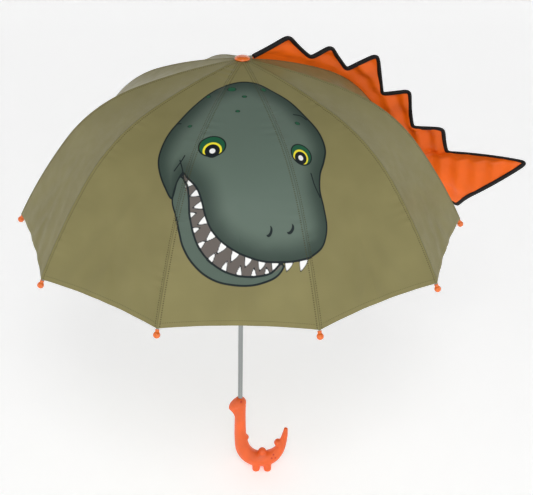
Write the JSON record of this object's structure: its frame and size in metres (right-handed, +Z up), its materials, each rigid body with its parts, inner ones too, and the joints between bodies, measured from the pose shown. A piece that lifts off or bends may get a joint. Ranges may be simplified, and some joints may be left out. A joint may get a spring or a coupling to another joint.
{
  "type": "children's stick umbrella",
  "caption": "Child's manual stick umbrella: domed cloth canopy with an animal face and a cloth spine fin, steel rib frame on a sliding runner, chromed shaft and a dinosaur-shaped hook handle.",
  "frame": {"origin": "on the shaft's axis at the hand grip, in the handle's neck", "axes": "+Z up the shaft to the canopy's peak, -Y to the front, where the printed face is, +X the way the hook opens"},
  "size_m": [0.815, 0.6584, 0.7743],
  "materials": {
    "canopy_cloth": "satin nylon, fine plain weave",
    "fin_cloth": "satin",
    "binding_tape": "woven tape",
    "chromed_tube": "bright",
    "spring_steel": "zinc plated",
    "frame_steel": "silver paint",
    "orange_plastic": "satin moulded",
    "orange_gloss": "gloss moulded",
    "dark_plastic": "satin moulded"
  },
  "bodies": {
    "shaft": {"shaft_tube": "chromed_tube", "handle": "orange_plastic", "top_notch": "dark_plastic", "notch_wire": "spring_steel", "canopy_washer": "dark_plastic", "top_cap": "orange_gloss", "stop_pin": "spring_steel"},
    "slider": {"runner": "dark_plastic", "runner_wire": "spring_steel"},
    "high_catch": {"upper_catch": "spring_steel"},
    "low_catch": {"lower_catch": "spring_steel"},
    "arm_01": {"rib_01": "frame_steel", "tip_01": "orange_gloss"},
    "strut_01": {"stretcher_01": "frame_steel"},
    "gore_01": {"panel_01": "canopy_cloth"},
    "arm_02": {"rib_02": "frame_steel", "tip_02": "orange_gloss"},
    "strut_02": {"stretcher_02": "frame_steel"},
    "gore_02": {"panel_02": "canopy_cloth"},
    "arm_03": {"rib_03": "frame_steel", "tip_03": "orange_gloss"},
    "strut_03": {"stretcher_03": "frame_steel"},
    "gore_03": {"panel_03": "canopy_cloth"},
    "arm_04": {"rib_04": "frame_steel", "tip_04": "orange_gloss", "spine_fin": "fin_cloth", "fin_binding": "binding_tape"},
    "strut_04": {"stretcher_04": "frame_steel"},
    "gore_04": {"panel_04": "canopy_cloth"},
    "arm_05": {"rib_05": "frame_steel", "tip_05": "orange_gloss"},
    "strut_05": {"stretcher_05": "frame_steel"},
    "gore_05": {"panel_05": "canopy_cloth"},
    "arm_06": {"rib_06": "frame_steel", "tip_06": "orange_gloss"},
    "strut_06": {"stretcher_06": "frame_steel"},
    "gore_06": {"panel_06": "canopy_cloth"},
    "arm_07": {"rib_07": "frame_steel", "tip_07": "orange_gloss"},
    "strut_07": {"stretcher_07": "frame_steel"},
    "gore_07": {"panel_07": "canopy_cloth"},
    "arm_08": {"rib_08": "frame_steel", "tip_08": "orange_gloss"},
    "strut_08": {"stretcher_08": "frame_steel"},
    "gore_08": {"panel_08": "canopy_cloth"},
    "arm_09": {"rib_09": "frame_steel", "tip_09": "orange_gloss"},
    "strut_09": {"stretcher_09": "frame_steel"},
    "gore_09": {"panel_09": "canopy_cloth"},
    "arm_10": {"rib_10": "frame_steel", "tip_10": "orange_gloss"},
    "strut_10": {"stretcher_10": "frame_steel"},
    "gore_10": {"panel_10": "canopy_cloth"}
  },
  "joints": [
    {"name": "runner_slide", "type": "slide", "parent": "shaft", "child": "slider", "axis": [0, 0, -1], "range_m": [0, 0.178], "deforming": ["panel_01", "panel_02", "panel_03", "panel_04", "panel_05", "panel_06", "panel_07", "panel_08", "panel_09", "panel_10", "spine_fin", "fin_binding"]},
    {"name": "upper_catch_press", "type": "slide", "parent": "shaft", "child": "high_catch", "axis": [0, -1, 0], "range_m": [0, 0.0023], "stiffness_N_per_m": 800},
    {"name": "lower_catch_press", "type": "slide", "parent": "shaft", "child": "low_catch", "axis": [0, -1, 0], "range_m": [0, 0.0023], "stiffness_N_per_m": 800},
    {"name": "rib_01_fold", "type": "hinge", "parent": "shaft", "child": "arm_01", "pos_m": [0.00232, -0.00713, 0.64551], "axis": [0.9511, 0.309, 0], "range_deg": [0, 50.6]},
    {"name": "stretcher_01_turn", "type": "hinge", "parent": "arm_01", "child": "strut_01", "pos_m": [0.04883, -0.15027, 0.59941], "axis": [-0.9511, -0.309, 0], "range_deg": [0, 92.07]},
    {"name": "panel_01_fold", "type": "hinge", "parent": "shaft", "child": "gore_01", "pos_m": [0.00441, -0.00607, 0.64551], "axis": [0.809, 0.5878, 0], "range_deg": [0, 47]},
    {"name": "rib_02_fold", "type": "hinge", "parent": "shaft", "child": "arm_02", "pos_m": [0.00607, -0.00441, 0.64551], "axis": [0.5878, 0.809, 0], "range_deg": [0, 50.6]},
    {"name": "stretcher_02_turn", "type": "hinge", "parent": "arm_02", "child": "strut_02", "pos_m": [0.12782, -0.09287, 0.59941], "axis": [-0.5878, -0.809, 0], "range_deg": [0, 92.07]},
    {"name": "panel_02_fold", "type": "hinge", "parent": "shaft", "child": "gore_02", "pos_m": [0.00713, -0.00232, 0.64551], "axis": [0.309, 0.9511, 0], "range_deg": [0, 47]},
    {"name": "rib_03_fold", "type": "hinge", "parent": "shaft", "child": "arm_03", "pos_m": [0.0075, 0, 0.64551], "axis": [0, 1, 0], "range_deg": [0, 50.6]},
    {"name": "stretcher_03_turn", "type": "hinge", "parent": "arm_03", "child": "strut_03", "pos_m": [0.158, 0, 0.59941], "axis": [0, -1, 0], "range_deg": [0, 92.07]},
    {"name": "panel_03_fold", "type": "hinge", "parent": "shaft", "child": "gore_03", "pos_m": [0.00713, 0.00232, 0.64551], "axis": [-0.309, 0.9511, 0], "range_deg": [0, 47]},
    {"name": "rib_04_fold", "type": "hinge", "parent": "shaft", "child": "arm_04", "pos_m": [0.00607, 0.00441, 0.64551], "axis": [-0.5878, 0.809, 0], "range_deg": [0, 50.6]},
    {"name": "stretcher_04_turn", "type": "hinge", "parent": "arm_04", "child": "strut_04", "pos_m": [0.12782, 0.09287, 0.59941], "axis": [0.5878, -0.809, 0], "range_deg": [0, 92.07]},
    {"name": "panel_04_fold", "type": "hinge", "parent": "shaft", "child": "gore_04", "pos_m": [0.00441, 0.00607, 0.64551], "axis": [-0.809, 0.5878, 0], "range_deg": [0, 47]},
    {"name": "rib_05_fold", "type": "hinge", "parent": "shaft", "child": "arm_05", "pos_m": [0.00232, 0.00713, 0.64551], "axis": [-0.9511, 0.309, 0], "range_deg": [0, 50.6]},
    {"name": "stretcher_05_turn", "type": "hinge", "parent": "arm_05", "child": "strut_05", "pos_m": [0.04883, 0.15027, 0.59941], "axis": [0.9511, -0.309, 0], "range_deg": [0, 92.07]},
    {"name": "panel_05_fold", "type": "hinge", "parent": "shaft", "child": "gore_05", "pos_m": [0, 0.0075, 0.64551], "axis": [-1, 0, 0], "range_deg": [0, 47]},
    {"name": "rib_06_fold", "type": "hinge", "parent": "shaft", "child": "arm_06", "pos_m": [-0.00232, 0.00713, 0.64551], "axis": [-0.9511, -0.309, 0], "range_deg": [0, 50.6]},
    {"name": "stretcher_06_turn", "type": "hinge", "parent": "arm_06", "child": "strut_06", "pos_m": [-0.04883, 0.15027, 0.59941], "axis": [0.9511, 0.309, 0], "range_deg": [0, 92.07]},
    {"name": "panel_06_fold", "type": "hinge", "parent": "shaft", "child": "gore_06", "pos_m": [-0.00441, 0.00607, 0.64551], "axis": [-0.809, -0.5878, 0], "range_deg": [0, 47]},
    {"name": "rib_07_fold", "type": "hinge", "parent": "shaft", "child": "arm_07", "pos_m": [-0.00607, 0.00441, 0.64551], "axis": [-0.5878, -0.809, 0], "range_deg": [0, 50.6]},
    {"name": "stretcher_07_turn", "type": "hinge", "parent": "arm_07", "child": "strut_07", "pos_m": [-0.12782, 0.09287, 0.59941], "axis": [0.5878, 0.809, 0], "range_deg": [0, 92.07]},
    {"name": "panel_07_fold", "type": "hinge", "parent": "shaft", "child": "gore_07", "pos_m": [-0.00713, 0.00232, 0.64551], "axis": [-0.309, -0.9511, 0], "range_deg": [0, 47]},
    {"name": "rib_08_fold", "type": "hinge", "parent": "shaft", "child": "arm_08", "pos_m": [-0.0075, 0, 0.64551], "axis": [0, -1, 0], "range_deg": [0, 50.6]},
    {"name": "stretcher_08_turn", "type": "hinge", "parent": "arm_08", "child": "strut_08", "pos_m": [-0.158, 0, 0.59941], "axis": [0, 1, 0], "range_deg": [0, 92.07]},
    {"name": "panel_08_fold", "type": "hinge", "parent": "shaft", "child": "gore_08", "pos_m": [-0.00713, -0.00232, 0.64551], "axis": [0.309, -0.9511, 0], "range_deg": [0, 47]},
    {"name": "rib_09_fold", "type": "hinge", "parent": "shaft", "child": "arm_09", "pos_m": [-0.00607, -0.00441, 0.64551], "axis": [0.5878, -0.809, 0], "range_deg": [0, 50.6]},
    {"name": "stretcher_09_turn", "type": "hinge", "parent": "arm_09", "child": "strut_09", "pos_m": [-0.12782, -0.09287, 0.59941], "axis": [-0.5878, 0.809, 0], "range_deg": [0, 92.07]},
    {"name": "panel_09_fold", "type": "hinge", "parent": "shaft", "child": "gore_09", "pos_m": [-0.00441, -0.00607, 0.64551], "axis": [0.809, -0.5878, 0], "range_deg": [0, 47]},
    {"name": "rib_10_fold", "type": "hinge", "parent": "shaft", "child": "arm_10", "pos_m": [-0.00232, -0.00713, 0.64551], "axis": [0.9511, -0.309, 0], "range_deg": [0, 50.6]},
    {"name": "stretcher_10_turn", "type": "hinge", "parent": "arm_10", "child": "strut_10", "pos_m": [-0.04883, -0.15027, 0.59941], "axis": [-0.9511, 0.309, 0], "range_deg": [0, 92.07]},
    {"name": "panel_10_fold", "type": "hinge", "parent": "shaft", "child": "gore_10", "pos_m": [0, -0.0075, 0.64551], "axis": [1, 0, 0], "range_deg": [0, 47]}
  ],
  "couplings": [
    {"joint": "rib_01_fold", "follows": "runner_slide", "rad_per_m": 4.961},
    {"joint": "stretcher_01_turn", "follows": "runner_slide", "rad_per_m": 9.0266},
    {"joint": "panel_01_fold", "follows": "runner_slide", "rad_per_m": 4.608},
    {"joint": "rib_02_fold", "follows": "runner_slide", "rad_per_m": 4.961},
    {"joint": "stretcher_02_turn", "follows": "runner_slide", "rad_per_m": 9.0266},
    {"joint": "panel_02_fold", "follows": "runner_slide", "rad_per_m": 4.608},
    {"joint": "rib_03_fold", "follows": "runner_slide", "rad_per_m": 4.961},
    {"joint": "stretcher_03_turn", "follows": "runner_slide", "rad_per_m": 9.0266},
    {"joint": "panel_03_fold", "follows": "runner_slide", "rad_per_m": 4.608},
    {"joint": "rib_04_fold", "follows": "runner_slide", "rad_per_m": 4.961},
    {"joint": "stretcher_04_turn", "follows": "runner_slide", "rad_per_m": 9.0266},
    {"joint": "panel_04_fold", "follows": "runner_slide", "rad_per_m": 4.608},
    {"joint": "rib_05_fold", "follows": "runner_slide", "rad_per_m": 4.961},
    {"joint": "stretcher_05_turn", "follows": "runner_slide", "rad_per_m": 9.0266},
    {"joint": "panel_05_fold", "follows": "runner_slide", "rad_per_m": 4.608},
    {"joint": "rib_06_fold", "follows": "runner_slide", "rad_per_m": 4.961},
    {"joint": "stretcher_06_turn", "follows": "runner_slide", "rad_per_m": 9.0266},
    {"joint": "panel_06_fold", "follows": "runner_slide", "rad_per_m": 4.608},
    {"joint": "rib_07_fold", "follows": "runner_slide", "rad_per_m": 4.961},
    {"joint": "stretcher_07_turn", "follows": "runner_slide", "rad_per_m": 9.0266},
    {"joint": "panel_07_fold", "follows": "runner_slide", "rad_per_m": 4.608},
    {"joint": "rib_08_fold", "follows": "runner_slide", "rad_per_m": 4.961},
    {"joint": "stretcher_08_turn", "follows": "runner_slide", "rad_per_m": 9.0266},
    {"joint": "panel_08_fold", "follows": "runner_slide", "rad_per_m": 4.608},
    {"joint": "rib_09_fold", "follows": "runner_slide", "rad_per_m": 4.961},
    {"joint": "stretcher_09_turn", "follows": "runner_slide", "rad_per_m": 9.0266},
    {"joint": "panel_09_fold", "follows": "runner_slide", "rad_per_m": 4.608},
    {"joint": "rib_10_fold", "follows": "runner_slide", "rad_per_m": 4.961},
    {"joint": "stretcher_10_turn", "follows": "runner_slide", "rad_per_m": 9.0266},
    {"joint": "panel_10_fold", "follows": "runner_slide", "rad_per_m": 4.608}
  ]
}
